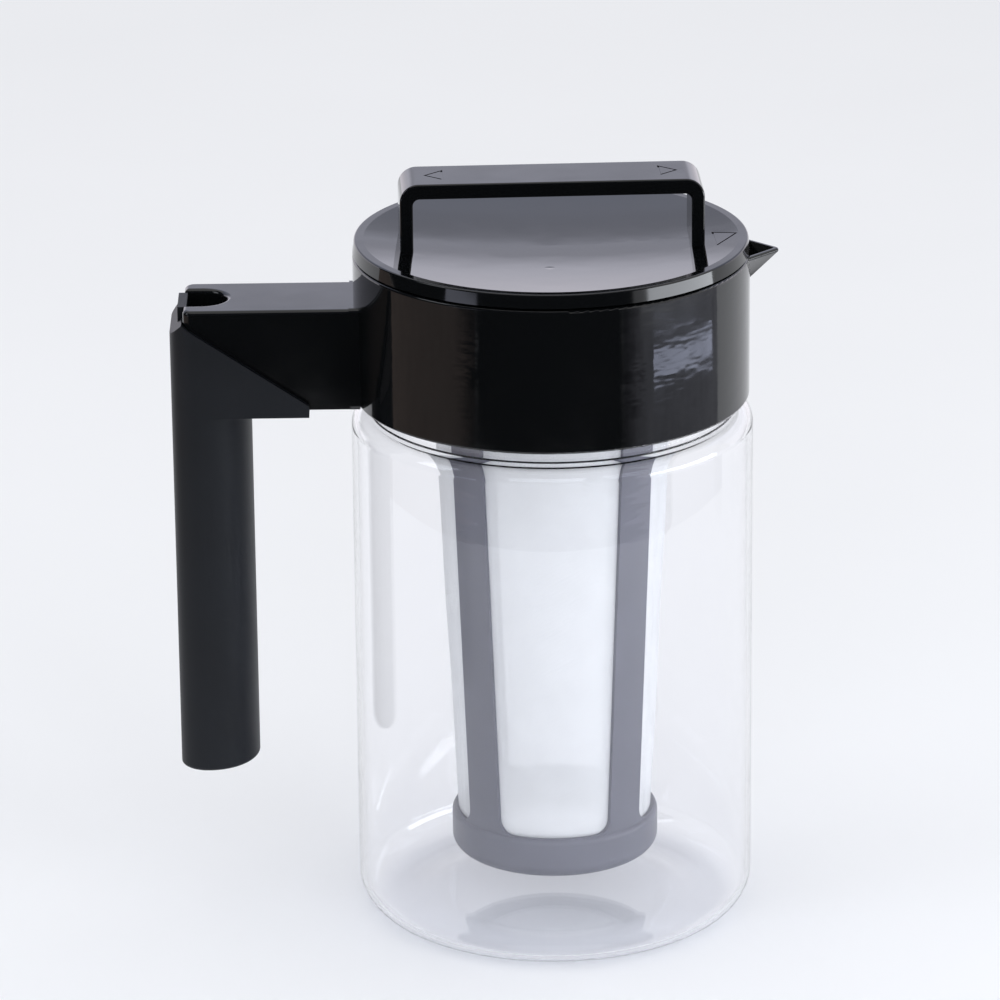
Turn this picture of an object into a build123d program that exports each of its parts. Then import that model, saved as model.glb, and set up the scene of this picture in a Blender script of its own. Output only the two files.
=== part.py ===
from build123d import *
import math
import os

# Cold brew coffee maker, one quart class. Millimetres, +Z up, the jug's axis is Z, and z = 0 is the
# surface that it stands on. The spout points along +X and the handle along -X.

# How far a cut runs past a face, and how near a height counts as the same
overcut = 1.0
near = 0.05

# Vessel
vessel_r = 54.0
vessel_wall = 2.5
foot_r = 44.0
foot_width = 3.0
push_up = 1.4
floor_z = 3.9
shoulder_z = 143.4
neck_r = 49.3
neck_wall = 2.4
neck_top_z = 160.5
neck_bead_z = 153.0
neck_bead = 0.9
neck_seal_edge_r = 0.3

# Collar and spout
collar_r = 53.0
collar_bottom_z = 147.1
collar_top_z = 186.4
collar_bore_r = 50.2
ledge_z = 164.0
ledge_thickness = 2.0
neck_gap = 0.3
collar_edge_r = 0.7
beak_x = 50.0
beak_top_tip_x = 62.2
beak_root_tip_x = 53.7
beak_root_z = 178.2
beak_half_width = 12.6
beak_wall = 1.8
beak_edge_r = 0.6
beak_tip_r = 1.5
beak_root_tip_r = 0.5
channel_tip_r = (0.4, 0.6)
channel_overlap = 5.0
key_width = 6.0
key_height = 1.8
key_r = (44.9, 48.3)
key_gap = 0.3

# Handle arm and its core
arm_half_width = 13.0
arm_top_z = 174.6
arm_bottom_z = 146.9
arm_end_x = -98.2
arm_root_x = -48.0
arm_corner_r = 2.5
arm_edge_r = 1.2
weld_bead = 0.3
weld_bead_length = 1.1
notch_width = 14.0
notch_end_x = -86.7
notch_depth = 9.0
notch_run_out = 4.0
core_x = (-97.0, -86.0)
core_half_width = 9.0
core_bottom_z = 60.0
core_corner_r = 2.0
core_end_gap = 1.0

# Grip sleeve
grip_back_x = -101.9
grip_widest_x = -94.0
grip_nose_x = -80.7
grip_half_width = 15.0
grip_corner_r = 7.5
grip_bottom_z = 44.1
grip_rim_z = 167.5
grip_edge_r = 1.0
cheek_top = (-98.6, 171.0)
cheek_tip = (-65.0, 148.5)
cheek_bottom_z = 145.3
sleeve_gap = 0.3
tongue_x = (-99.7, -97.3)
tongue_half_width = 6.3
tongue_top_z = 174.0
tongue_root = 5.0

# Lid cover and bail, which stand turned a little from the spout
lid_angle = 1.8
cover_bottom_z = 187.0
cover_rim_z = 190.6
cover_rim_r = 52.5
cover_edge_r = 0.5
bowl_r = 50.0
bowl_depth = 2.8
cover_under_z = 185.2
cover_under_r = 49.4
bail_top_z = 208.0
bail_thickness = 4.1
bail_leg = 3.5
bail_half_length = 40.4
bail_width = 18.0
bail_corner_r = 5.0
bail_inner_r = 1.8
bail_edge_r = 0.6
bail_root_depth = 1.0
arrow_line = 0.5
arrow_depth = 0.25
bail_arrow = ((28.6, -4.6), (33.8, 0.0), (28.6, 4.6))
rim_arrow = ((43.0, 2.1), (43.1, -11.2), (49.7, -1.1))

# Plug, shutter and pivot
plug_r = 49.7
skirt_inner_r = 47.0
plug_floor_z = 164.2
plug_floor_thickness = 2.6
plug_top_z = 184.2
slot_bottom_z = 176.5
slot_half_angle = 13.0
vent_half_angle = 6.0
inlet_r = (39.2, 46.2)
inlet_half_angle = 34.0
vent_inlet_half_angle = 9.0
seal_groove_z = (168.0, 171.2)
seal_groove_r = 48.5
lip_seal_r = 50.05
lip_height = 0.7
lip_root_share = 0.6
seal_play = 0.1
shutter_r = 46.7
shutter_inner_r = 44.4
shutter_bottom_z = 174.8
shutter_plate = 2.0
shutter_margin_angle = 3.5
shutter_rib = 1.6
shutter_rib_height = 4.0
shutter_rib_bearings = (30.0, 90.0, 150.0)
pin_r = 6.0
pin_bore_r = 6.05
pin_end_z = 163.9
boss_r = 10.0
boss_top_z = 174.0
oring_z = (168.6, 171.0)
oring_inner_r = 4.6
oring_edge_r = 0.5
washer_r = 9.0
washer_thickness = 1.2
washer_chamfer = 0.3
screw_head_r = 4.2
screw_head_height = 2.2
screw_r = 1.9
screw_length = 10.0
screw_end_gap = 1.0
screw_head_edge_r = 1.0
cross_size = (4.4, 0.9)
cross_depth = 1.2

# Filter: tapered cage, bayonet, mesh
rib_r_low = 27.2
rib_low_z = 26.0
rib_top_z = 151.0
rib_taper = 0.0473
rib_width = 11.2
rib_depth = 3.0
rib_bearings = (43.5, 133.5, 223.5, 313.5)
window_corner_r = 4.0
base_ring_r = 28.2
base_ring_inner_r = 22.6
base_ring_z = (16.5, 28.0)
base_ring_edge_r = 3.5
base_ring_top_r = 1.8
base_lip_r = 20.0
base_lip_thickness = 1.6
top_ring_r = 34.0
top_ring_inner_r = 28.6
top_ring_z = (150.5, 162.4)
mesh_inset = 0.9
mesh_thickness = 0.4
lug_half_angle = 20.0
lug_bearings = (0.0, 120.0, 240.0)
lug_r = 35.9
filter_lug_z = (157.0, 159.5)
socket_inner_r = 36.3
socket_r = 38.8
socket_bottom_z = 151.5
socket_lug_inner_r = 34.4
socket_lug_z = (153.5, 156.7)
filter_seal_r = (30.0, 33.6)
filter_seal_top_z = 163.9
filter_seal_edge_r = 0.5


def ring(r_inner, r_outer, z_low, z_high):
    """Plain ring between two radii and two heights."""
    with BuildPart(mode=Mode.PRIVATE) as piece:
        with BuildSketch(Plane.XY.offset(z_low)):
            Circle(r_outer)
            Circle(r_inner, mode=Mode.SUBTRACT)
        extrude(amount=z_high - z_low)
    return piece.part


def sector(r_inner, r_outer, half_angle, z_low, z_high, bearing=0.0):
    """Ring sector between two radii and two heights, centred on a bearing."""
    with BuildPart(mode=Mode.PRIVATE) as piece:
        with BuildSketch(Plane.XY.offset(z_low)):
            with BuildLine():
                outer = CenterArc((0, 0), r_outer, bearing - half_angle, 2 * half_angle)
                inner = CenterArc((0, 0), r_inner, bearing - half_angle, 2 * half_angle)
                Line(outer @ 0, inner @ 0)
                Line(outer @ 1, inner @ 1)
            make_face()
        extrude(amount=z_high - z_low)
    return piece.part


def wall_r(z):
    """Outer radius of the filter's cage at a height."""
    return rib_r_low + rib_taper * (z - rib_low_z)


def cone_wall(inset, thickness, z_low, z_high):
    """Tapered wall that follows the cage, set in from its outer face."""
    with BuildPart(mode=Mode.PRIVATE) as piece:
        with BuildSketch(Plane.XZ):
            with BuildLine():
                Polyline(
                    (wall_r(z_low) - inset, z_low),
                    (wall_r(z_high) - inset, z_high),
                    (wall_r(z_high) - inset - thickness, z_high),
                    (wall_r(z_low) - inset - thickness, z_low),
                    close=True,
                )
            make_face()
        revolve(axis=Axis.Z)
    return piece.part


def beak_section(z, inner_x, tip_x, half_width, tip_r):
    """Plan section of the spout: a triangle whose tip is rounded."""
    with BuildSketch(Plane.XY.offset(z), mode=Mode.PRIVATE) as section:
        with BuildLine():
            Polyline((inner_x, -half_width), (tip_x, 0), (inner_x, half_width), close=True)
        make_face()
        fillet(section.vertices().sort_by(Axis.X)[-1], tip_r)
    return section.sketch


def outlined_arrow(z, corners):
    """Triangular outline, as a prism that stands up from a height."""
    with BuildPart(mode=Mode.PRIVATE) as piece:
        with BuildSketch(Plane.XY.offset(z)):
            with BuildLine():
                Polyline(*corners, close=True)
            make_face()
            offset(amount=-arrow_line, mode=Mode.SUBTRACT, kind=Kind.INTERSECTION)
        extrude(amount=bowl_depth + overcut)
    return piece.part


def finish(part, label):
    """Name a finished piece and write it."""
    part.label = label
    export_step(part, f"parts/{label}.step")


os.makedirs("parts", exist_ok=True)


# Vessel: one clear moulding with a foot ring, a rounded base corner, a shoulder and a beaded neck
vessel_inner_r = vessel_r - vessel_wall
neck_inner_r = neck_r - neck_wall
shoulder_r = vessel_r - neck_r
inner_shoulder_r = vessel_inner_r - neck_inner_r
inner_corner_r = vessel_r - foot_r - vessel_wall
inner_shoulder_z = shoulder_z - vessel_wall
with BuildPart() as vessel:
    with BuildSketch(Plane.XZ):
        with BuildLine():
            foot = Polyline(
                (0, push_up),
                (foot_r - foot_width - push_up, push_up),
                (foot_r - foot_width, 0),
                (foot_r, 0),
            )
            corner = JernArc(foot @ 1, (1, 0), vessel_r - foot_r, 90)
            wall = Line(corner @ 1, (vessel_r, shoulder_z - shoulder_r))
            shoulder = JernArc(wall @ 1, (0, 1), shoulder_r, 90)
            neck = Polyline(
                shoulder @ 1,
                (neck_r, neck_bead_z - neck_bead),
                (neck_r + neck_bead, neck_bead_z),
                (neck_r, neck_bead_z + neck_bead),
                (neck_r, neck_top_z),
                (neck_inner_r, neck_top_z),
                (neck_inner_r, inner_shoulder_z),
            )
            inner_shoulder = JernArc(neck @ 1, (1, 0), inner_shoulder_r, -90)
            inner_wall = Line(inner_shoulder @ 1, (vessel_inner_r, floor_z + inner_corner_r))
            inner_corner = JernArc(inner_wall @ 1, (0, -1), inner_corner_r, -90)
            Polyline(inner_corner @ 1, (0, floor_z), (0, push_up))
        make_face()
    revolve(axis=Axis.Z)
finish(vessel.part, "vessel")

# Neck seal: silicone ring between the vessel's rim and the collar's ledge
ledge_bottom_z = ledge_z - ledge_thickness
with BuildPart() as neck_seal:
    add(ring(neck_inner_r, neck_r, neck_top_z, ledge_bottom_z))
    fillet(neck_seal.edges().filter_by(GeomType.CIRCLE).group_by(Axis.Z)[0], neck_seal_edge_r)
finish(neck_seal.part, "neck_seal")

# Collar: glossy ring that snaps over the neck bead, with the ledge for the lid and the beak spout
neck_bore_r = neck_r + neck_gap
groove_half = neck_bead + neck_gap
beak_slope = beak_half_width / (beak_top_tip_x - beak_x)
beak_inset = beak_wall * math.hypot(1.0, beak_slope) / beak_slope
channel_tip_x = beak_top_tip_x - beak_inset
channel_root_tip_x = beak_root_tip_x - beak_wall
channel_x = beak_x - channel_overlap
channel_bottom_z = beak_root_z + beak_wall
with BuildPart() as beak:
    loft(
        sections=[
            beak_section(beak_root_z, beak_x, beak_root_tip_x, beak_wall, beak_root_tip_r),
            beak_section(collar_top_z, beak_x, beak_top_tip_x, beak_half_width, beak_tip_r),
        ]
    )
    beak_rim = beak.edges().group_by(Axis.Z)[-1]
    fillet(beak_rim.filter_by(lambda edge: edge.center().X > beak_x + near), beak_edge_r)
with BuildPart() as collar:
    with BuildSketch(Plane.XZ) as collar_section:
        with BuildLine():
            Polyline(
                (collar_r, collar_bottom_z),
                (collar_r, collar_top_z),
                (collar_bore_r, collar_top_z),
                (collar_bore_r, ledge_z),
                (neck_inner_r, ledge_z),
                (neck_inner_r, ledge_bottom_z),
                (neck_bore_r, ledge_bottom_z),
                (neck_bore_r, neck_bead_z + groove_half),
                (neck_bore_r + neck_bead, neck_bead_z),
                (neck_bore_r, neck_bead_z - groove_half),
                (neck_bore_r, collar_bottom_z),
                close=True,
            )
        make_face()
        fillet(collar_section.vertices().group_by(Axis.X)[-1], collar_edge_r)
    revolve(axis=Axis.Z)
    add(beak.part)
    loft(
        sections=[
            beak_section(
                channel_bottom_z,
                channel_x,
                channel_root_tip_x,
                beak_slope * (channel_root_tip_x - channel_x) / 2,
                channel_tip_r[0],
            ),
            beak_section(
                collar_top_z + near,
                channel_x,
                channel_tip_x,
                beak_slope * (channel_tip_x - channel_x),
                channel_tip_r[1],
            ),
        ],
        mode=Mode.SUBTRACT,
    )
    with Locations(Plane.XY.offset(ledge_z)):
        Cylinder(
            collar_bore_r,
            collar_top_z - ledge_z + overcut,
            align=(Align.CENTER, Align.CENTER, Align.MIN),
            mode=Mode.SUBTRACT,
        )
    key_notch_r = (neck_inner_r - overcut, key_r[1] + key_gap)
    with BuildSketch(Plane.XY.offset(ledge_bottom_z)):
        with Locations((0, sum(key_notch_r) / 2), (0, -sum(key_notch_r) / 2)):
            Rectangle(key_width + 2 * key_gap, key_notch_r[1] - key_notch_r[0])
    extrude(amount=ledge_thickness, mode=Mode.SUBTRACT)
finish(collar.part, "collar")

# Handle arm: moulding welded to the collar, with the latch notch in its top end and the grip's core
with BuildPart() as handle_arm:
    with BuildSketch(Plane.XY.offset(arm_bottom_z)) as arm_plan:
        with Locations(((arm_end_x + arm_root_x) / 2, 0)):
            Rectangle(arm_root_x - arm_end_x, 2 * arm_half_width)
        fillet(arm_plan.vertices().group_by(Axis.X)[0], arm_corner_r)
    extrude(amount=arm_top_z - arm_bottom_z)
    with BuildSketch(Plane.XY.offset(arm_top_z - notch_depth)) as notch_plan:
        with Locations(((arm_end_x - notch_run_out + notch_end_x) / 2, 0)):
            Rectangle(notch_end_x - arm_end_x + notch_run_out, notch_width)
        fillet(notch_plan.vertices().group_by(Axis.X)[-1], notch_width / 2 - near)
    extrude(amount=notch_depth + overcut, mode=Mode.SUBTRACT)
    fillet(handle_arm.faces().sort_by(Axis.Z)[-1].edges(), arm_edge_r)
    with BuildSketch(Plane.XY.offset(core_bottom_z)) as core_plan:
        with Locations(((core_x[0] + core_x[1]) / 2, 0)):
            Rectangle(core_x[1] - core_x[0], 2 * core_half_width)
        fillet(core_plan.vertices(), core_corner_r)
    extrude(amount=arm_bottom_z - core_bottom_z)
    with BuildSketch(Plane.YZ.offset(-collar_r - weld_bead_length)):
        with Locations((0, (arm_top_z + arm_bottom_z) / 2)):
            RectangleRounded(
                2 * (arm_half_width + weld_bead),
                arm_top_z - arm_bottom_z + 2 * weld_bead,
                arm_edge_r,
            )
    extrude(amount=collar_r + weld_bead_length + arm_root_x)
    Cylinder(collar_r, 2 * bail_top_z, mode=Mode.SUBTRACT)
finish(handle_arm.part, "handle_arm")

# Grip sleeve: matte moulding pushed up over the core, with two cheeks beside the arm and a tongue
with BuildPart() as grip_head:
    with BuildSketch(Plane.XY.offset(cheek_bottom_z)) as head_plan:
        with Locations(((grip_back_x + cheek_tip[0]) / 2, 0)):
            Rectangle(cheek_tip[0] - grip_back_x, 2 * grip_half_width)
        fillet(head_plan.vertices().group_by(Axis.X)[0], grip_corner_r)
    extrude(amount=cheek_top[1] - cheek_bottom_z)
    with BuildSketch(Plane.XZ):
        with BuildLine():
            Polyline(
                (grip_back_x, cheek_bottom_z),
                (grip_back_x, grip_rim_z),
                cheek_top,
                cheek_tip,
                (cheek_tip[0], cheek_bottom_z),
                close=True,
            )
        make_face()
    extrude(amount=grip_half_width, both=True, mode=Mode.INTERSECT)
with BuildPart() as grip_sleeve:
    with BuildSketch(Plane.XY.offset(grip_bottom_z)) as grip_plan:
        with BuildLine():
            nose = EllipticalCenterArc(
                (grip_widest_x, 0),
                grip_nose_x - grip_widest_x,
                grip_half_width,
                start_angle=-90,
                arc_size=180,
            )
            Polyline(
                nose @ 1,
                (grip_back_x, grip_half_width),
                (grip_back_x, -grip_half_width),
                nose @ 0,
            )
        make_face()
        fillet(grip_plan.vertices().group_by(Axis.X)[0], grip_corner_r)
    extrude(amount=cheek_bottom_z - grip_bottom_z)
    fillet(grip_sleeve.faces().sort_by(Axis.Z)[0].edges(), grip_edge_r)
    add(grip_head.part)
    slot_x = arm_end_x - sleeve_gap
    slot_length = cheek_tip[0] - slot_x + overcut
    with BuildSketch(Plane.XY.offset(arm_bottom_z - sleeve_gap)) as slot_plan:
        with Locations((slot_x + slot_length / 2, 0)):
            Rectangle(slot_length, 2 * (arm_half_width + sleeve_gap))
        fillet(slot_plan.vertices().group_by(Axis.X)[0], arm_corner_r + sleeve_gap)
    extrude(amount=cheek_top[1] - arm_bottom_z + sleeve_gap + overcut, mode=Mode.SUBTRACT)
    with Locations((core_x[0] - sleeve_gap, 0, core_bottom_z - core_end_gap)):
        Box(
            core_x[1] - core_x[0] + 2 * sleeve_gap,
            2 * (core_half_width + sleeve_gap),
            arm_bottom_z - core_bottom_z + core_end_gap + overcut,
            align=(Align.MIN, Align.CENTER, Align.MIN),
            mode=Mode.SUBTRACT,
        )
    tongue_root_z = grip_rim_z - tongue_root
    tongue_heel_z = arm_top_z - notch_depth + sleeve_gap
    with BuildSketch(Plane.XZ):
        with BuildLine():
            Polyline(
                (tongue_x[0], tongue_root_z),
                (tongue_x[0], tongue_top_z),
                (tongue_x[1], tongue_top_z),
                (tongue_x[1], tongue_heel_z),
                (slot_x, tongue_heel_z),
                (slot_x, tongue_root_z),
                close=True,
            )
        make_face()
    extrude(amount=tongue_half_width, both=True)
finish(grip_sleeve.part, "grip_sleeve")

# Lid plug: stands on the ledge, with the bayonet socket below its floor and the slots in its skirt
floor_top_z = plug_floor_z + plug_floor_thickness
with BuildPart() as lid_plug:
    add(ring(pin_bore_r, plug_r, plug_floor_z, floor_top_z))
    add(ring(skirt_inner_r, plug_r, plug_floor_z, plug_top_z))
    add(ring(pin_bore_r, boss_r, plug_floor_z, boss_top_z))
    add(ring(socket_inner_r, socket_r, socket_bottom_z, plug_floor_z))
    for bearing in lug_bearings:
        add(sector(socket_lug_inner_r, socket_r, lug_half_angle, *socket_lug_z, bearing))
    add(ring(seal_groove_r, plug_r + overcut, *seal_groove_z), mode=Mode.SUBTRACT)
    slot_span = (slot_bottom_z, plug_top_z + overcut)
    skirt_cut = (skirt_inner_r - overcut, plug_r + overcut)
    inlet_span = (plug_floor_z - overcut, floor_top_z + overcut)
    add(sector(*skirt_cut, slot_half_angle, *slot_span), mode=Mode.SUBTRACT)
    add(sector(*skirt_cut, vent_half_angle, *slot_span, 180.0), mode=Mode.SUBTRACT)
    add(sector(*inlet_r, inlet_half_angle, *inlet_span), mode=Mode.SUBTRACT)
    add(sector(*inlet_r, vent_inlet_half_angle, *inlet_span, 180.0), mode=Mode.SUBTRACT)
    with BuildSketch(Plane.XY.offset(plug_floor_z - key_height)):
        with Locations((0, sum(key_r) / 2), (0, -sum(key_r) / 2)):
            Rectangle(key_width, key_r[1] - key_r[0])
    extrude(amount=key_height)
finish(lid_plug.part, "lid_plug")

# Lid seal: silicone ring with two lips in the plug's groove
seal_low, seal_high = seal_groove_z
lip_root_r = seal_groove_r + lip_root_share * (lip_seal_r - seal_groove_r)
seal_span = (seal_low + seal_play, seal_high - seal_play)
with BuildPart() as lid_seal:
    with BuildSketch(Plane.XZ):
        with BuildLine():
            Polyline(
                (seal_groove_r, seal_span[0]),
                (lip_root_r, seal_span[0]),
                (lip_seal_r, seal_low + lip_height),
                (lip_root_r, seal_low + 2 * lip_height),
                (lip_root_r, seal_high - 2 * lip_height),
                (lip_seal_r, seal_high - lip_height),
                (lip_root_r, seal_span[1]),
                (seal_groove_r, seal_span[1]),
                close=True,
            )
        make_face()
    revolve(axis=Axis.Z)
finish(lid_seal.part, "lid_seal")

# Lid shutter: inverted cup under the cover, with the pivot pin and the windows that meet the slots
plate_bottom_z = cover_under_z - shutter_plate
window_cut = (shutter_inner_r - overcut, shutter_r + overcut)
window_span = (slot_bottom_z, plate_bottom_z)
with BuildPart() as lid_shutter:
    with BuildSketch(Plane.XY.offset(plate_bottom_z)):
        Circle(shutter_r)
    extrude(amount=shutter_plate)
    add(ring(shutter_inner_r, shutter_r, shutter_bottom_z, plate_bottom_z))
    with BuildSketch(Plane.XY.offset(plate_bottom_z - shutter_rib_height)):
        for bearing in shutter_rib_bearings:
            with Locations(Rotation(0, 0, bearing)):
                Rectangle(2 * shutter_inner_r + overcut, shutter_rib)
    extrude(amount=shutter_rib_height)
    with BuildSketch(Plane.XY.offset(pin_end_z)):
        Circle(pin_r)
    extrude(amount=plate_bottom_z - pin_end_z)
    add(ring(oring_inner_r, pin_r + overcut, *oring_z), mode=Mode.SUBTRACT)
    window_angle = slot_half_angle + shutter_margin_angle
    vent_angle = vent_half_angle + shutter_margin_angle
    add(sector(*window_cut, window_angle, *window_span), mode=Mode.SUBTRACT)
    add(sector(*window_cut, vent_angle, *window_span, 180.0), mode=Mode.SUBTRACT)
    with BuildSketch(Plane.XY.offset(pin_end_z)):
        Circle(screw_r)
    extrude(amount=screw_length, mode=Mode.SUBTRACT)
finish(lid_shutter.part.rotate(Axis.Z, lid_angle), "lid_shutter")

# Pivot: screw and washer that keep the pin in the plug's boss, and the ring that seals it
washer_z = pin_end_z - washer_thickness
with BuildPart() as pivot_washer:
    add(ring(screw_r, washer_r, washer_z, pin_end_z))
    chamfer(pivot_washer.edges().group_by(Axis.Z)[0].sort_by(SortBy.RADIUS)[-1], washer_chamfer)
finish(pivot_washer.part, "pivot_washer")

with BuildPart() as pivot_screw:
    with BuildSketch(Plane.XY.offset(washer_z - screw_head_height)):
        Circle(screw_head_r)
    extrude(amount=screw_head_height)
    fillet(pivot_screw.edges().group_by(Axis.Z)[0], screw_head_edge_r)
    with BuildSketch(Plane.XY.offset(washer_z)):
        Circle(screw_r)
    extrude(amount=washer_thickness + screw_length - screw_end_gap)
    cross_z = washer_z - screw_head_height
    with BuildSketch(Plane.XY.offset(cross_z)):
        Rectangle(*cross_size)
        Rectangle(*reversed(cross_size))
    extrude(amount=cross_depth, mode=Mode.SUBTRACT)
finish(pivot_screw.part, "pivot_screw")

with BuildPart() as pivot_oring:
    add(ring(oring_inner_r, pin_r, oring_z[0] + seal_play, oring_z[1] - seal_play))
    fillet(pivot_oring.edges().filter_by(GeomType.CIRCLE), oring_edge_r)
finish(pivot_oring.part, "pivot_oring")

# Lid cover: dished disc with its rounded rim and the bail that spans it, one glossy moulding
bowl_sphere_r = (bowl_r**2 + bowl_depth**2) / (2 * bowl_depth)
bowl_low_z = cover_rim_z - bowl_depth
bowl_centre_z = bowl_low_z + bowl_sphere_r
bail_leg_x = bail_half_length - bail_leg
bail_under_z = bail_top_z - bail_thickness
foot_z = cover_under_z + bail_root_depth
with BuildPart() as lid_cover:
    with BuildSketch(Plane.XZ) as cover_section:
        with BuildLine():
            under = Polyline(
                (0, cover_under_z),
                (cover_under_r - cover_bottom_z + cover_under_z, cover_under_z),
                (cover_under_r, cover_bottom_z),
                (collar_r, cover_bottom_z),
                (cover_rim_r, cover_rim_z),
                (bowl_r, cover_rim_z),
            )
            bowl = RadiusArc(under @ 1, (0, bowl_low_z), bowl_sphere_r)
            Line(bowl @ 1, under @ 0)
        make_face()
        rim_top = cover_section.vertices().group_by(Axis.Y)[-1].sort_by(Axis.X)[-1]
        fillet(rim_top, cover_edge_r)
    revolve(axis=Axis.Z)
    with BuildSketch(Plane.XZ) as bail_side:
        with BuildLine():
            Polyline(
                (-bail_half_length, foot_z),
                (-bail_half_length, bail_top_z),
                (bail_half_length, bail_top_z),
                (bail_half_length, foot_z),
                (bail_leg_x, foot_z),
                (bail_leg_x, bail_under_z),
                (-bail_leg_x, bail_under_z),
                (-bail_leg_x, foot_z),
                close=True,
            )
        make_face()
        fillet(bail_side.vertices().group_by(Axis.Y)[1], bail_inner_r)
        fillet(bail_side.vertices().group_by(Axis.Y)[-1], bail_corner_r)
    extrude(amount=bail_width / 2, both=True)
    above = lid_cover.edges().filter_by(lambda edge: edge.center().Z > cover_rim_z + near)
    sides = above.filter_by(lambda edge: edge.bounding_box().size.Y < near)
    fillet(sides, bail_edge_r)
    for side in (0, 180):
        arrow = outlined_arrow(bail_top_z - arrow_depth, bail_arrow)
        add(Rot(0, 0, side) * arrow, mode=Mode.SUBTRACT)
    with BuildPart(mode=Mode.PRIVATE) as turn_arrow:
        add(outlined_arrow(bowl_low_z, rim_arrow))
        with Locations((0, 0, bowl_centre_z)):
            Sphere(bowl_sphere_r + arrow_depth, mode=Mode.INTERSECT)
    add(turn_arrow.part, mode=Mode.SUBTRACT)
finish(lid_cover.part.rotate(Axis.Z, lid_angle), "lid_cover")

# Filter frame: tapered cage of four ribs, with the base ring, the lip for the mesh and the bayonet
with BuildPart() as window:
    with Locations((rib_width / 2, rib_width / 2, base_ring_z[1])):
        Box(lug_r, lug_r, rib_top_z, align=(Align.MIN, Align.MIN, Align.MIN))
    sill = window.edges().group_by(Axis.Z)[0]
    fillet(sill.filter_by(lambda edge: min(edge.center().X, edge.center().Y) < rib_width), window_corner_r)
with BuildPart() as filter_frame:
    add(cone_wall(0.0, rib_depth, rib_low_z, rib_top_z))
    for bearing in rib_bearings:
        add(Rot(0, 0, bearing) * window.part, mode=Mode.SUBTRACT)
    with BuildSketch(Plane.XZ) as base_section:
        with BuildLine():
            Polyline(
                (base_lip_r, base_ring_z[0]),
                (base_ring_r, base_ring_z[0]),
                (base_ring_r, base_ring_z[1]),
                (base_ring_inner_r, base_ring_z[1]),
                (base_ring_inner_r, base_ring_z[0] + base_lip_thickness),
                (base_lip_r, base_ring_z[0] + base_lip_thickness),
                close=True,
            )
        make_face()
        outer = base_section.vertices().group_by(Axis.X)[-1].sort_by(Axis.Y)
        fillet(outer[0], base_ring_edge_r)
        outer = base_section.vertices().group_by(Axis.X)[-1].sort_by(Axis.Y)
        fillet(outer[-1], base_ring_top_r)
    revolve(axis=Axis.Z)
    add(ring(top_ring_inner_r, top_ring_r, *top_ring_z))
    for bearing in lug_bearings:
        add(sector(top_ring_r - overcut, lug_r, lug_half_angle, *filter_lug_z, bearing))
finish(filter_frame.part, "filter_frame")

# Mesh: four tapered panels between the ribs, and the disc on the base lip
with BuildPart() as mesh_sleeve:
    add(cone_wall(mesh_inset, mesh_thickness, base_ring_z[1], top_ring_z[0]))
    add(filter_frame.part, mode=Mode.SUBTRACT)
panels = sorted(
    mesh_sleeve.part.solids(),
    key=lambda panel: math.atan2(panel.center().Y, panel.center().X),
)
for number, panel in enumerate(panels, 1):
    finish(panel, f"mesh_panel_{number}")

lip_top_z = base_ring_z[0] + base_lip_thickness
with BuildPart() as mesh_base:
    with BuildSketch(Plane.XY.offset(lip_top_z)):
        Circle(base_ring_inner_r)
    extrude(amount=mesh_thickness)
finish(mesh_base.part, "mesh_base")

# Filter seal: silicone ring on the filter's rim, under the plug's floor
with BuildPart() as filter_seal:
    add(ring(*filter_seal_r, top_ring_z[1], filter_seal_top_z))
    fillet(filter_seal.edges().group_by(Axis.Z)[-1], filter_seal_edge_r)
finish(filter_seal.part, "filter_seal")
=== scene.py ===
import math

import bmesh
import bpy
import numpy as np
from mathutils import Matrix


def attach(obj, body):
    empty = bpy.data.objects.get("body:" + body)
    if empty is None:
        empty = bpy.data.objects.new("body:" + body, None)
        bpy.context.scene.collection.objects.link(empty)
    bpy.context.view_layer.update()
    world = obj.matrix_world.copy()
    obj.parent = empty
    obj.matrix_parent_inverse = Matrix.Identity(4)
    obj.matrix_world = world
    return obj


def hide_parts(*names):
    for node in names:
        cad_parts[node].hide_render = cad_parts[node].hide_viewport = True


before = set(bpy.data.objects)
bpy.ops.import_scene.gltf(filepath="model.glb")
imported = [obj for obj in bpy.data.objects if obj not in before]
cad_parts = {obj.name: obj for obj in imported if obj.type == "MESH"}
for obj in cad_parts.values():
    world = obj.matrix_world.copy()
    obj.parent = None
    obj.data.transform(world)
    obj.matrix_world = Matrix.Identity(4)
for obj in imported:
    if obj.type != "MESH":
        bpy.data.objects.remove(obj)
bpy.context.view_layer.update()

# Studio camera: it stands 1.5 m in front of the jug, a little above lid height, behind a long lens.
camera_place = (-0.0314, -1.4983, 0.6510)
camera_heading = math.radians(0.655)
camera_tilt = math.radians(-19.649)
camera_roll = math.radians(-0.576)
camera_sensor = 36.0
camera_lens = 211.77
camera_reach = 20.0

camera = bpy.data.objects.new("camera", bpy.data.cameras.new("camera"))
camera.data.sensor_width = camera_sensor
camera.data.lens = camera_lens
camera.data.clip_end = camera_reach
turn = Matrix.Rotation(-camera_heading, 4, "Z") @ Matrix.Rotation(math.pi / 2 + camera_tilt, 4, "X")
camera.matrix_world = Matrix.Translation(camera_place) @ turn @ Matrix.Rotation(camera_roll, 4, "Z")
bpy.context.scene.collection.objects.link(camera)
bpy.context.scene.camera = camera
bpy.context.scene.view_settings.view_transform = "Standard"


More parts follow.
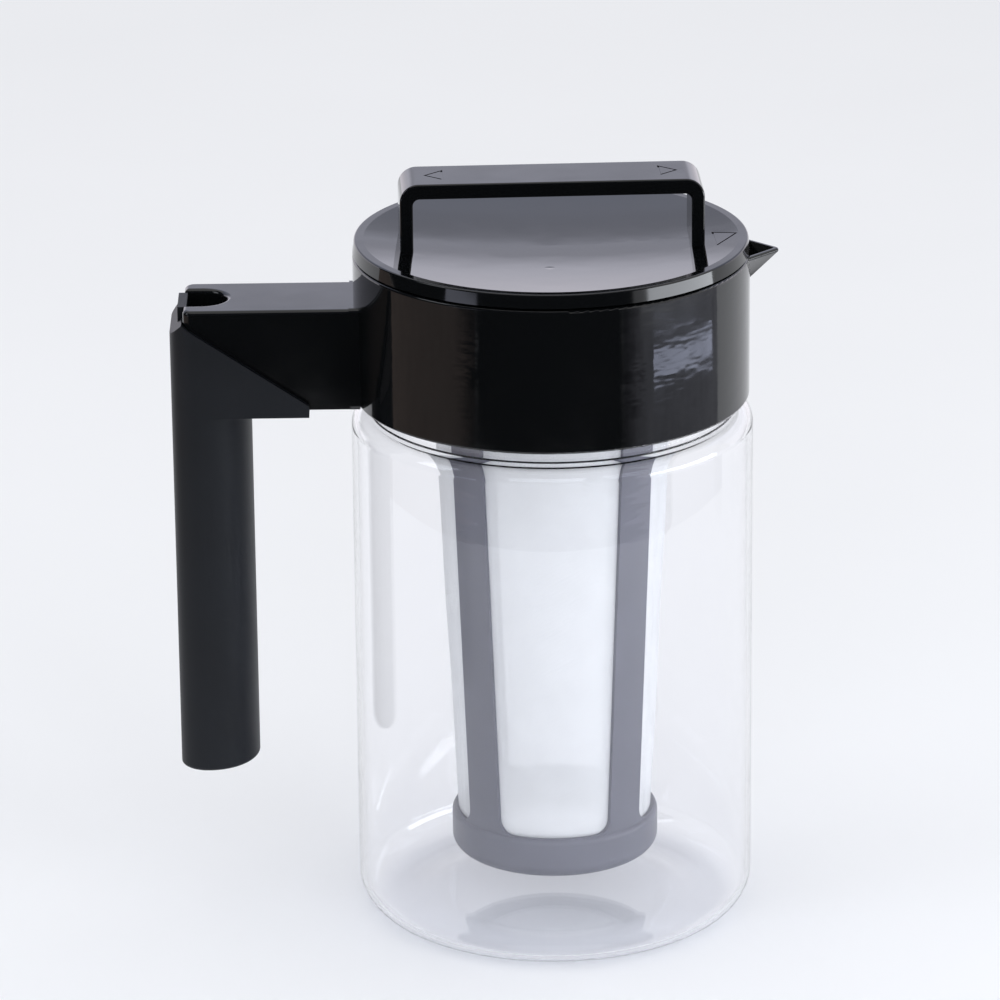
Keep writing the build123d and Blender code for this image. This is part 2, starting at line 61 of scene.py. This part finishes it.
# Vessel: a straight jug injection moulded in clear copolyester, polished inside and out. Its wall
# is even all the way round the base corner, and the base stands on a low foot with a slight push-up.
jug_r = 54.0
jug_wall = 1.6
jug_corner_r = 10.0
jug_foot_r = 44.0
jug_hollow_r = (30.0, 42.0)
jug_push_up = 1.4
jug_shoulder_z = 143.4
jug_neck_r = 49.3
jug_neck_wall = 2.4
jug_neck_bead = (153.0, 0.9)
jug_top_z = 160.5
merge_distance = 1e-6
sharp_edge = math.radians(40)


def linear(code):
    """Linear colour from an sRGB hex string: the low end is a line and the rest a 2.4 power."""
    srgb = np.array([int(code[i : i + 2], 16) / 255 for i in (0, 2, 4)])
    return tuple(np.where(srgb <= 0.04045, srgb / 12.92, ((srgb + 0.055) / 1.055) ** 2.4)) + (1.0,)


def node(tree, kind, inputs=None, **settings):
    """Adds one shader node. Inputs go by name or number, and each is a value or a socket to link."""
    made = tree.nodes.new("ShaderNode" + kind)
    for name, value in settings.items():
        setattr(made, name, value)
    for name, value in (inputs or {}).items():
        if isinstance(value, bpy.types.NodeSocket):
            tree.links.new(value, made.inputs[name])
        else:
            made.inputs[name].default_value = value
    return made


def material(name):
    """An empty node material and its tree."""
    made = bpy.data.materials.new(name)
    made.use_nodes = True
    made.node_tree.nodes.clear()
    return made, made.node_tree


def dress(name, finish):
    """Gives a CAD node's object one finish, smooth where its own normals say so."""
    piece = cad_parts[name]
    piece.data.materials.clear()
    piece.data.materials.append(finish)


def piece_from(name, points, faces, finish):
    """A new piece from points in mm and faces, with doubles merged, smooth but for sharp edges."""
    shape = bpy.data.meshes.new(name)
    shape.from_pydata((points / 1000).tolist(), [], faces.tolist())
    work = bmesh.new()
    work.from_mesh(shape)
    bmesh.ops.remove_doubles(work, verts=work.verts, dist=merge_distance)
    work.to_mesh(shape)
    work.free()
    shape.shade_smooth()
    shape.set_sharp_from_angle(angle=sharp_edge)
    shape.materials.append(finish)
    piece = bpy.data.objects.new(name, shape)
    bpy.context.scene.collection.objects.link(piece)
    return piece


def grid_faces(rows, columns, closed):
    """Quads of a grid of rows and columns, which meet end to end where the rows are closed."""
    row = np.arange(rows - 1)[:, None] * columns
    column = np.arange(columns if closed else columns - 1)[None, :]
    right = (column + 1) % columns
    corners = (row + column, row + right, row + columns + right, row + columns + column)
    return np.stack(np.broadcast_arrays(*corners), axis=-1).reshape(-1, 4)


def turned(name, profile, finish, turns=192):
    """A profile of radius and height in mm, carried round the axis. It runs from the bottom centre
    outwards, up the outside and back down the inside, so that the faces point outwards."""
    bearing = np.arange(turns) * 2 * np.pi / turns
    radius, height = profile[:, :1], profile[:, 1:]
    spread = (radius * np.cos(bearing), radius * np.sin(bearing), height + 0 * bearing)
    points = np.stack(spread, axis=-1).reshape(-1, 3)
    return piece_from(name, points, grid_faces(len(profile), turns, True), finish)


def arc(centre, radius, start, end, steps=14):
    """Points on an arc of the profile, between two angles in degrees from the outward direction."""
    angle = np.radians(np.linspace(start, end, steps))
    return np.stack((centre[0] + radius * np.cos(angle), centre[1] + radius * np.sin(angle)), axis=-1)


def jug_profile():
    """The jug's closed profile. The foot eases into the push-up along half a cosine wave, and the
    inside of the base follows the outside at an even wall."""
    radius = np.linspace(0.0, jug_foot_r, 60)
    share = np.clip((radius - jug_hollow_r[0]) / (jug_hollow_r[1] - jug_hollow_r[0]), 0.0, 1.0)
    under = np.stack((radius, jug_push_up * (0.5 + 0.5 * np.cos(np.pi * share))), axis=-1)
    shoulder_r = jug_r - jug_neck_r
    shoulder_centre = (jug_neck_r, jug_shoulder_z - shoulder_r)
    corner_centre = (jug_foot_r, jug_corner_r)
    neck_inner_r = jug_neck_r - jug_neck_wall
    bead_z, bead = jug_neck_bead
    neck = [(jug_neck_r, bead_z - bead), (jug_neck_r + bead, bead_z), (jug_neck_r, bead_z + bead)]
    rim = [(jug_neck_r, jug_top_z), (neck_inner_r, jug_top_z), (neck_inner_r, jug_shoulder_z)]
    return np.concatenate(
        (
            under,
            arc(corner_centre, jug_corner_r, -90, 0, 24)[1:],
            arc(shoulder_centre, shoulder_r, 0, 90),
            neck,
            rim,
            arc(shoulder_centre, shoulder_r - jug_wall, 90, 0),
            arc(corner_centre, jug_corner_r - jug_wall, 0, -90, 24),
            (under + (0.0, jug_wall))[-2::-1],
        )
    )


def clear_copolyester():
    """Clear copolyester: glass-like and faintly blue, with a slow ripple about 20 mm long, left by the
    mould. Lamps reach through it, as they do through a thin real wall."""
    made, tree = material("clear copolyester")
    place = node(tree, "TexCoord").outputs["Object"]
    ripple = node(tree, "TexNoise", {"Vector": place, "Scale": 45.0, "Detail": 1.0})
    bump = node(tree, "Bump", {"Height": ripple.outputs[0], "Strength": 0.02, "Distance": 0.001})
    glass = node(
        tree,
        "BsdfPrincipled",
        {
            "Base Color": linear("FEFEFF"),
            "Roughness": 0.0,
            "IOR": 1.5,
            "Transmission Weight": 1.0,
            "Normal": bump.outputs[0],
        },
    )
    open_way = node(tree, "BsdfTransparent", {"Color": linear("FEFEFF")})
    path = node(tree, "LightPath")
    mix = node(
        tree,
        "MixShader",
        {0: path.outputs["Is Shadow Ray"], 1: glass.outputs[0], 2: open_way.outputs[0]},
    )
    node(tree, "OutputMaterial", {"Surface": mix.outputs[0]})
    return made


jug = turned("jug", jug_profile(), clear_copolyester())
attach(jug, "jug")
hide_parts("vessel")


# Neck seal: a ring of translucent silicone, moulded, pinched between the vessel's rim and the
# collar's ledge.
def silicone(name, code):
    """Moulded silicone or rubber: a soft satin skin that lets a little light in, with a faint mottle
    about 3 mm across."""
    made, tree = material(name)
    place = node(tree, "TexCoord").outputs["Object"]
    mottle = node(tree, "TexNoise", {"Vector": place, "Scale": 300.0, "Detail": 2.0})
    rough = node(
        tree,
        "MapRange",
        {"Value": mottle.outputs[0], "To Min": 0.35, "To Max": 0.55},
    )
    shade = node(
        tree,
        "BsdfPrincipled",
        {
            "Base Color": linear(code),
            "Roughness": rough.outputs[0],
            "IOR": 1.41,
            "Subsurface Weight": 0.3,
            "Subsurface Radius": (0.002, 0.002, 0.002),
            "Subsurface Scale": 1.0,
        },
    )
    node(tree, "OutputMaterial", {"Surface": shade.outputs[0]})
    return made


clear_silicone = silicone("translucent silicone", "C9CDD2")
dress("neck_seal", clear_silicone)


# Collar: injection moulded in black ABS from a polished tool, snapped over the neck bead. It
# carries the beak spout.
def slow_wave(tree, place):
    """Relief of a few microns in waves about 11 mm long, where the plastic shrank."""
    wave = node(tree, "TexNoise", {"Vector": place, "Scale": 90.0, "Detail": 1.0})
    relief = {"Height": wave.outputs[0], "Strength": 0.03, "Distance": 0.001}
    return node(tree, "Bump", relief).outputs[0]


def draw_lines(tree, place):
    """Level ripples about 2.5 mm apart and 6 mm long, which the tool leaves on a standing wall."""
    squeeze = node(tree, "Mapping", {"Vector": place, "Scale": (0.42, 0.42, 1.0)})
    wave = node(tree, "TexNoise", {"Vector": squeeze.outputs[0], "Scale": 400.0, "Detail": 1.0})
    relief = {"Height": wave.outputs[0], "Strength": 0.022, "Distance": 0.001}
    return node(tree, "Bump", relief).outputs[0]


def black_abs(name, relief):
    """Black ABS from a polished tool: deep black, a sharp gloss with a relief of its own, and a haze
    of handling marks that only changes the roughness."""
    made, tree = material(name)
    place = node(tree, "TexCoord").outputs["Object"]
    haze = node(tree, "TexNoise", {"Vector": place, "Scale": 60.0, "Detail": 4.0})
    span = {"From Min": 0.35, "From Max": 0.75, "To Min": 0.04, "To Max": 0.12}
    rough = node(tree, "MapRange", {"Value": haze.outputs[0], **span})
    shade = node(
        tree,
        "BsdfPrincipled",
        {
            "Base Color": linear("08090A"),
            "Roughness": rough.outputs[0],
            "IOR": 1.53,
            "Normal": relief(tree, place),
        },
    )
    node(tree, "OutputMaterial", {"Surface": shade.outputs[0]})
    return made


gloss = black_abs("polished black ABS", slow_wave)
dress("collar", black_abs("polished black ABS with draw lines", draw_lines))


# Handle arm: moulded in the same black ABS and welded to the collar at its root. The notch in its top
# takes the grip's latch tongue, and its core runs down inside the grip.
dress("handle_arm", gloss)


# Grip sleeve: moulded in a soft black polypropylene blend with a spark eroded tool, pushed up over
# the arm's core and latched by the tongue in the arm's notch.
def eroded_polypropylene():
    """Matte black polypropylene: a fine even grain of about 0.3 mm, a satin sheen, and a slightly
    paler tone where hands have rubbed it."""
    made, tree = material("matte black polypropylene")
    place = node(tree, "TexCoord").outputs["Object"]
    grain = node(tree, "TexNoise", {"Vector": place, "Scale": 3300.0, "Detail": 2.0})
    rub = node(tree, "TexNoise", {"Vector": place, "Scale": 25.0, "Detail": 3.0})
    spread = {"Value": rub.outputs[0], "From Min": 0.3, "From Max": 0.7}
    tone = node(tree, "MapRange", spread)
    colour = node(
        tree,
        "Mix",
        {0: tone.outputs[0], 6: linear("101216"), 7: linear("16191E")},
        data_type="RGBA",
    )
    rough = node(tree, "MapRange", {**spread, "To Min": 0.42, "To Max": 0.5})
    bump = node(tree, "Bump", {"Height": grain.outputs[0], "Strength": 0.25, "Distance": 0.0001})
    shade = node(
        tree,
        "BsdfPrincipled",
        {
            "Base Color": colour.outputs[2],
            "Roughness": rough.outputs[0],
            "IOR": 1.49,
            "Specular IOR Level": 0.25,
            "Normal": bump.outputs[0],
        },
    )
    node(tree, "OutputMaterial", {"Surface": shade.outputs[0]})
    return made


dress("grip_sleeve", eroded_polypropylene())


# Lid plug and shutter: black polypropylene mouldings, satin all over. The plug stands in the collar
# with its silicone lip ring, and the shutter ring turns inside the plug to open or close its slots.
def satin_polypropylene():
    """Satin black polypropylene, plainer than the outside parts."""
    made, tree = material("satin black polypropylene")
    place = node(tree, "TexCoord").outputs["Object"]
    haze = node(tree, "TexNoise", {"Vector": place, "Scale": 150.0, "Detail": 3.0})
    rough = node(tree, "MapRange", {"Value": haze.outputs[0], "To Min": 0.25, "To Max": 0.4})
    shade = node(
        tree,
        "BsdfPrincipled",
        {"Base Color": linear("101113"), "Roughness": rough.outputs[0], "IOR": 1.49},
    )
    node(tree, "OutputMaterial", {"Surface": shade.outputs[0]})
    return made


inner_black = satin_polypropylene()
dress("lid_plug", inner_black)
dress("lid_shutter", inner_black)
dress("lid_seal", clear_silicone)


# Pivot: a turned stainless screw and washer hold the shutter's pin in the plug's floor, and an O-ring
# of nitrile rubber seals it.
def stainless():
    """Turned stainless steel, with a fine mottle about 1 mm across in its roughness."""
    made, tree = material("turned stainless steel")
    place = node(tree, "TexCoord").outputs["Object"]
    haze = node(tree, "TexNoise", {"Vector": place, "Scale": 900.0, "Detail": 2.0})
    rough = node(tree, "MapRange", {"Value": haze.outputs[0], "To Min": 0.2, "To Max": 0.35})
    shade = node(
        tree,
        "BsdfPrincipled",
        {"Base Color": linear("C4C2BE"), "Metallic": 1.0, "Roughness": rough.outputs[0]},
    )
    node(tree, "OutputMaterial", {"Surface": shade.outputs[0]})
    return made


steel = stainless()
dress("pivot_screw", steel)
dress("pivot_washer", steel)
dress("pivot_oring", silicone("black nitrile rubber", "121212"))


# Lid cover: dished disc with the bail that spans it, one moulding in black ABS from a polished tool,
# whose gate left a small dot in the dish.
gate_place = (-0.0008, -0.0217, 0.0)
gate_r = 0.0016


def gate_mark(tree, place):
    """Waves as on the other parts, and a sink of a few microns round the gate, whose depth falls
    smoothly with the distance from it."""
    flat = node(tree, "VectorMath", {0: place, 1: (1.0, 1.0, 0.0)}, operation="MULTIPLY").outputs[0]
    away = node(tree, "VectorMath", {0: flat, 1: gate_place}, operation="DISTANCE").outputs["Value"]
    sink = node(
        tree,
        "MapRange",
        {"Value": away, "From Max": gate_r, "To Min": 1.0, "To Max": 0.0},
        interpolation_type="SMOOTHSTEP",
    )
    relief = {"Height": sink.outputs[0], "Strength": 0.08, "Distance": 0.001}
    relief["Normal"] = slow_wave(tree, place)
    return node(tree, "Bump", relief, invert=True).outputs[0]


dress("lid_cover", black_abs("polished black ABS with the gate mark", gate_mark))


# Filter frame: a tapered cage of four ribs with its rings, injection moulded in grey polypropylene. It
# hangs from the plug in a bayonet, with a silicone ring between them.
def grey_polypropylene():
    """Grey polypropylene: satin, with a faint cloudiness from the flow of the melt."""
    made, tree = material("grey polypropylene")
    place = node(tree, "TexCoord").outputs["Object"]
    flow = node(tree, "TexNoise", {"Vector": place, "Scale": 60.0, "Detail": 3.0})
    colour = node(
        tree,
        "Mix",
        {0: flow.outputs[0], 6: linear("575863"), 7: linear("62636F")},
        data_type="RGBA",
    )
    rough = node(tree, "MapRange", {"Value": flow.outputs[0], "To Min": 0.3, "To Max": 0.45})
    shade = node(
        tree,
        "BsdfPrincipled",
        {"Base Color": colour.outputs[2], "Roughness": rough.outputs[0], "IOR": 1.49},
    )
    node(tree, "OutputMaterial", {"Surface": shade.outputs[0]})
    return made


dress("filter_frame", grey_polypropylene())
dress("filter_seal", clear_silicone)


# Mesh: fine white nylon gauze, cut to the windows' shape and laid in the tool, so that the grey
# frame is moulded round its edges. It stands a little behind the ribs' outer faces.
gauze_thickness = 0.25
gauze_inset = 0.9
gauze_z = (27.8, 150.7)
gauze_tuck = 0.4
gauze_pitch = 0.3
frame_r = (27.2, 26.0, 0.0473)
frame_rib_width = 11.2
frame_rib_bearings = (43.5, 133.5, 223.5, 313.5)
gauze_grid = (90, 60)
gauze_slack = 0.10
gauze_cover = (0.62, 0.82)
gauze_through = 0.35


def panel(name, rib, finish):
    """One window's gauze on the frame's cone, from one rib's side to the next one's. A point's
    bearing is the rib's, plus the angle that the rib's half width takes at that radius, and a slow
    wave in and out keeps it from looking rigid. Its UV map counts mm along the cloth."""
    rows, columns = gauze_grid
    height = np.linspace(*gauze_z, rows)[:, None]
    share = np.linspace(0.0, 1.0, columns)[None, :]
    radius = frame_r[0] + frame_r[2] * (height - frame_r[1]) - gauze_inset
    side = np.arcsin((frame_rib_width / 2 - gauze_tuck) / radius)
    bearing = math.radians(rib) + side + share * (np.pi / 2 - 2 * side)
    slack = gauze_slack * np.sin(np.pi * share) * np.sin(height / 9.0 + 5.0 * share + rib)
    spread = ((radius + slack) * np.cos(bearing), (radius + slack) * np.sin(bearing))
    points = np.stack((*spread, height + 0 * share), axis=-1).reshape(-1, 3)
    faces = grid_faces(rows, columns, False)
    cloth = piece_from(name, points, faces, finish)
    along = np.stack((radius * bearing, height + 0 * share), axis=-1).reshape(-1, 2)
    corner = np.empty(len(cloth.data.loops), dtype=np.int32)
    cloth.data.loops.foreach_get("vertex_index", corner)
    cloth.data.uv_layers.new(name="weave").data.foreach_set("uv", along[corner].ravel())
    thicken = cloth.modifiers.new("thickness", "SOLIDIFY")
    thicken.thickness = gauze_thickness / 1000
    thicken.offset = -1.0
    return cloth


def nylon_gauze(name, weave):
    """White nylon gauze: a plain weave whose fine round threads are bright and whose gaps let a part
    of the light through. The weave is drawn at 0.3 mm, a little coarser than real."""
    made, tree = material(name)
    if weave:
        cloth = node(tree, "UVMap", uv_map="weave").outputs[0]
    else:
        spread = node(tree, "TexCoord").outputs["Object"]
        cloth = node(tree, "VectorMath", {0: spread, 3: 1000.0}, operation="SCALE").outputs[0]
    split = node(tree, "SeparateXYZ", {0: cloth})
    threads = []
    for axis in (0, 1):
        wave = node(tree, "Math", {0: split.outputs[axis], 1: gauze_pitch / 2}, operation="PINGPONG")
        edge = {"Value": wave.outputs[0], "From Min": 0.03, "From Max": 0.11}
        threads.append(node(tree, "MapRange", edge).outputs[0])
    over = node(tree, "Math", {0: threads[0], 1: threads[1]}, operation="MAXIMUM")
    place = node(tree, "TexCoord").outputs["Object"]
    cloud = node(tree, "TexNoise", {"Vector": place, "Scale": 55.0, "Detail": 3.0})
    share = {"Value": cloud.outputs[0], "To Min": gauze_cover[0], "To Max": gauze_cover[1]}
    thin = node(tree, "MapRange", share)
    cover = node(tree, "Math", {0: over.outputs[0], 1: thin.outputs[0]}, operation="MULTIPLY")
    bump = node(tree, "Bump", {"Height": over.outputs[0], "Strength": 0.15, "Distance": 0.00005})
    thread = node(
        tree,
        "BsdfPrincipled",
        {"Base Color": linear("FCFDFE"), "Roughness": 0.5, "IOR": 1.53, "Normal": bump.outputs[0]},
    )
    through = node(tree, "BsdfTranslucent", {"Color": linear("FCFDFE")})
    lit = {0: gauze_through, 1: thread.outputs[0], 2: through.outputs[0]}
    yarn = node(tree, "MixShader", lit)
    gap = node(tree, "BsdfTransparent")
    mix = node(tree, "MixShader", {0: cover.outputs[0], 1: gap.outputs[0], 2: yarn.outputs[0]})
    node(tree, "OutputMaterial", {"Surface": mix.outputs[0]})
    return made


gauze = nylon_gauze("white nylon gauze", True)
for number, rib in enumerate(frame_rib_bearings, 1):
    window = panel(f"gauze_{number}", rib, gauze)
    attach(window, "filter")
    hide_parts(f"mesh_panel_{number}")
dress("mesh_base", nylon_gauze("white nylon gauze disc", False))


# Floor: a wide sheet of matte white studio paper, laid flat a tenth of a millimetre below the foot. It
# keeps the jug's shadow.
paper_half = 6.0
paper_z = -0.0001
corner = np.array([(-1, -1), (1, -1), (1, 1), (-1, 1)]) * paper_half
corner = np.column_stack((corner, np.full(4, paper_z)))
floor_mesh = bpy.data.meshes.new("paper")
floor_mesh.from_pydata(corner.tolist(), [], [(0, 1, 2, 3)])
floor = bpy.data.objects.new("paper", floor_mesh)
bpy.context.scene.collection.objects.link(floor)


def white_paper():
    """Matte white paper with a faint fibre mottle."""
    made, tree = material("white paper")
    place = node(tree, "TexCoord").outputs["Object"]
    fibre = node(tree, "TexNoise", {"Vector": place, "Scale": 8.0, "Detail": 4.0})
    colour = node(
        tree,
        "Mix",
        {0: fibre.outputs[0], 6: linear("EEEFF1"), 7: linear("F1F2F4")},
        data_type="RGBA",
    )
    shade = node(tree, "BsdfDiffuse", {"Color": colour.outputs[2]})
    node(tree, "OutputMaterial", {"Surface": shade.outputs[0]})
    return made


floor_mesh.materials.append(white_paper())


# Flags and walls for painted reflections: dark, warm and pale cards and two glowing strips in front
# of the jug, and a pale glowing wall behind it, as in a studio, so that the gloss has something to
# show. Only mirrored rays meet them. Radii and heights are in mm, and bearings in degrees from the
# front to the right.
card_columns = 60
fray_waves = (5.3, 2.1)
near_r = 430.0
far_r = 1400.0
right_card_r = 640.0
card_z = 1.0
flag_z = 2.0
flag_fray = 9.0
flag_bearings = (-50.0, 45.0)
flag_step = 2.0
flag_rows = [(radius, flag_z) for radius in (*np.arange(near_r, right_card_r, flag_step), far_r)]
strip_rows = ((533.0, 3.0), (562.0, 3.0))
front_rows = ((far_r, flag_z), (far_r, 330.0))
left_strip_rows = ((1300.0, 3.0), (1300.0, 130.0))
room_rows = ((1700.0, 330.0), (1750.0, 2600.0))
wall_rows = ((1600.0, 0.0), (1600.0, 1400.0))
# The back wall's painted glow: the heights in m over which it fades, its strength and its curve.
wall_glow_m = (0.2, 1.4)
wall_strength = 2.05
wall_fade = (
    (0.0, 0.82),
    (0.19, 0.82),
    (0.25, 0.84),
    (0.28, 0.80),
    (0.31, 0.70),
    (0.335, 0.64),
    (0.345, 0.54),
    (0.36, 0.57),
    (0.385, 0.58),
    (0.40, 0.64),
    (0.415, 0.58),
    (0.435, 0.46),
    (0.46, 0.41),
    (0.50, 0.41),
    (0.54, 0.43),
    (0.58, 0.48),
    (1.0, 0.50),
)


def bent_card(name, rows, bearings, finish, fray=0.0):
    """A card bent round the jug's axis, through rows of a radius and a height. The two ends of a
    frayed card wander apart and together by that many degrees, along two sine waves of the radius."""
    radius, height = np.array(rows)[:, :1], np.array(rows)[:, 1:]
    wander = fray * (np.sin(radius / fray_waves[0]) + np.sin(radius / fray_waves[1] + 1.0)) / 2
    share = np.linspace(0.0, 1.0, card_columns)[None, :]
    angle = np.radians(bearings[0] + (bearings[1] - bearings[0]) * share + wander * (2 * share - 1))
    spread = (radius * np.sin(angle), -radius * np.cos(angle), height + 0 * angle)
    points = np.stack(spread, axis=-1).reshape(-1, 3)
    card = piece_from(name, points, grid_faces(len(rows), card_columns, False), finish)
    card.visible_camera = False
    card.visible_diffuse = False
    card.visible_transmission = False
    card.visible_shadow = False


def card_stock(name, low, high):
    """Matte card, a little mottled."""
    made, tree = material(name)
    place = node(tree, "TexCoord").outputs["Object"]
    mottle = node(tree, "TexNoise", {"Vector": place, "Scale": 30.0, "Detail": 2.0})
    colour = node(
        tree,
        "Mix",
        {0: mottle.outputs[0], 6: linear(low), 7: linear(high)},
        data_type="RGBA",
    )
    shade = node(tree, "BsdfDiffuse", {"Color": colour.outputs[2]})
    node(tree, "OutputMaterial", {"Surface": shade.outputs[0]})
    return made


def glow(name, code, strength):
    """An even painted glow, as of a strip lamp behind cloth, that shows in the gloss as a painted
    highlight.
    """
    made, tree = material(name)
    shade = node(tree, "Emission", {"Color": linear(code), "Strength": strength})
    node(tree, "OutputMaterial", {"Surface": shade.outputs[0]})
    return made


def glowing_wall():
    """Pale wall that glows with painted light, brightest low down: the glow fades with height along a
    curve and turns bluer, and the curve's dips and bumps show as painted bands in the reflections.
    """
    made, tree = material("painted glow wall")
    place = node(tree, "TexCoord").outputs["Object"]
    height = node(tree, "SeparateXYZ", {0: place}).outputs[2]
    span = {"Value": height, "From Min": wall_glow_m[0], "From Max": wall_glow_m[1]}
    share = node(tree, "MapRange", span)
    fade = node(tree, "FloatCurve", {"Value": share.outputs[0]})
    colour = node(
        tree,
        "Mix",
        {0: share.outputs[0], 6: linear("E6E2EB"), 7: linear("D3DEFA")},
        data_type="RGBA",
    )
    points = fade.mapping.curves[0].points
    points[0].location, points[1].location = wall_fade[0], wall_fade[-1]
    for along, level in wall_fade[1:-1]:
        points.new(along, level)
    fade.mapping.update()
    strength = node(tree, "Math", {0: fade.outputs[0], 1: wall_strength}, operation="MULTIPLY")
    shade = node(tree, "Emission", {"Color": colour.outputs[2], "Strength": strength.outputs[0]})
    node(tree, "OutputMaterial", {"Surface": shade.outputs[0]})
    return made


black_card = card_stock("black card", "0C0C0D", "121214")
warm_card = card_stock("warm card", "7C706A", "A08F86")
grey_card = card_stock("grey card", "8E8E96", "C0C0C8")
dark_room = card_stock("dark room", "2C2E36", "3A3C44")
bent_card("floor flag", flag_rows, flag_bearings, black_card, flag_fray)
bent_card("left card", ((near_r, card_z), (far_r, card_z)), (-115.0, -44.0), warm_card)
bent_card("right card", ((near_r, card_z), (right_card_r, card_z)), (39.0, 106.0), grey_card)
bent_card("floor strip", strip_rows, (57.0, 101.0), glow("strip glow", "DEE5FF", 4.6))
bent_card("front flag", front_rows, (-115.0, 45.0), black_card)
bent_card("left strip", left_strip_rows, (-62.0, -43.0), glow("left glow", "E6EAFF", 1.6))
bent_card("room", room_rows, (-120.0, 60.0), dark_room)
bent_card("back wall", wall_rows, (115.0, 245.0), glowing_wall())


# Lamps: a long low soft box on the right and a smaller one on the left, two front fills that the gloss
# does not show, and pale studio walls all round.
lamp_colour = (0.90, 0.94, 1.0)
studio_level = 0.94


def soft_box(name, bearing, place_z, aim_z, distance, size, watts, mirrored=True):
    """A soft lamp that faces the jug. The bearing runs in degrees from the front to the right, and
    heights, distance and size are in metres."""
    lamp = bpy.data.objects.new(name, bpy.data.lights.new(name, "AREA"))
    lamp.data.shape = "RECTANGLE"
    lamp.data.size, lamp.data.size_y = size
    lamp.data.energy = watts
    lamp.data.color = lamp_colour
    bearing = math.radians(bearing)
    out = np.array([math.sin(bearing) * distance, -math.cos(bearing) * distance, place_z])
    toward = out - np.array([0.0, 0.0, aim_z])
    toward /= np.linalg.norm(toward)
    side = np.cross((0, 0, 1), toward)
    side /= np.linalg.norm(side)
    turn = Matrix(np.column_stack((side, np.cross(toward, side), toward)).tolist()).to_4x4()
    lamp.matrix_world = Matrix.Translation(out) @ turn
    lamp.visible_glossy = mirrored
    bpy.context.scene.collection.objects.link(lamp)


soft_box("right soft box", 77.0, 0.12, 0.12, 0.85, (0.75, 0.17), 2.2)
soft_box("front fill", -5.0, 0.75, 0.10, 1.6, (1.3, 0.9), 8.0, False)
soft_box("right front fill", 50.0, 0.60, 0.05, 1.2, (0.9, 0.7), 3.0, False)
soft_box("left soft box", -75.0, 0.75, 0.12, 1.0, (0.4, 0.5), 1.2)

world = bpy.data.worlds.new("pale studio")
world.use_nodes = True
world.node_tree.nodes.clear()
sky = node(world.node_tree, "Background", {"Color": linear("F8F8FA"), "Strength": studio_level})
node(world.node_tree, "OutputWorld", {"Surface": sky.outputs[0]})
bpy.context.scene.world = world
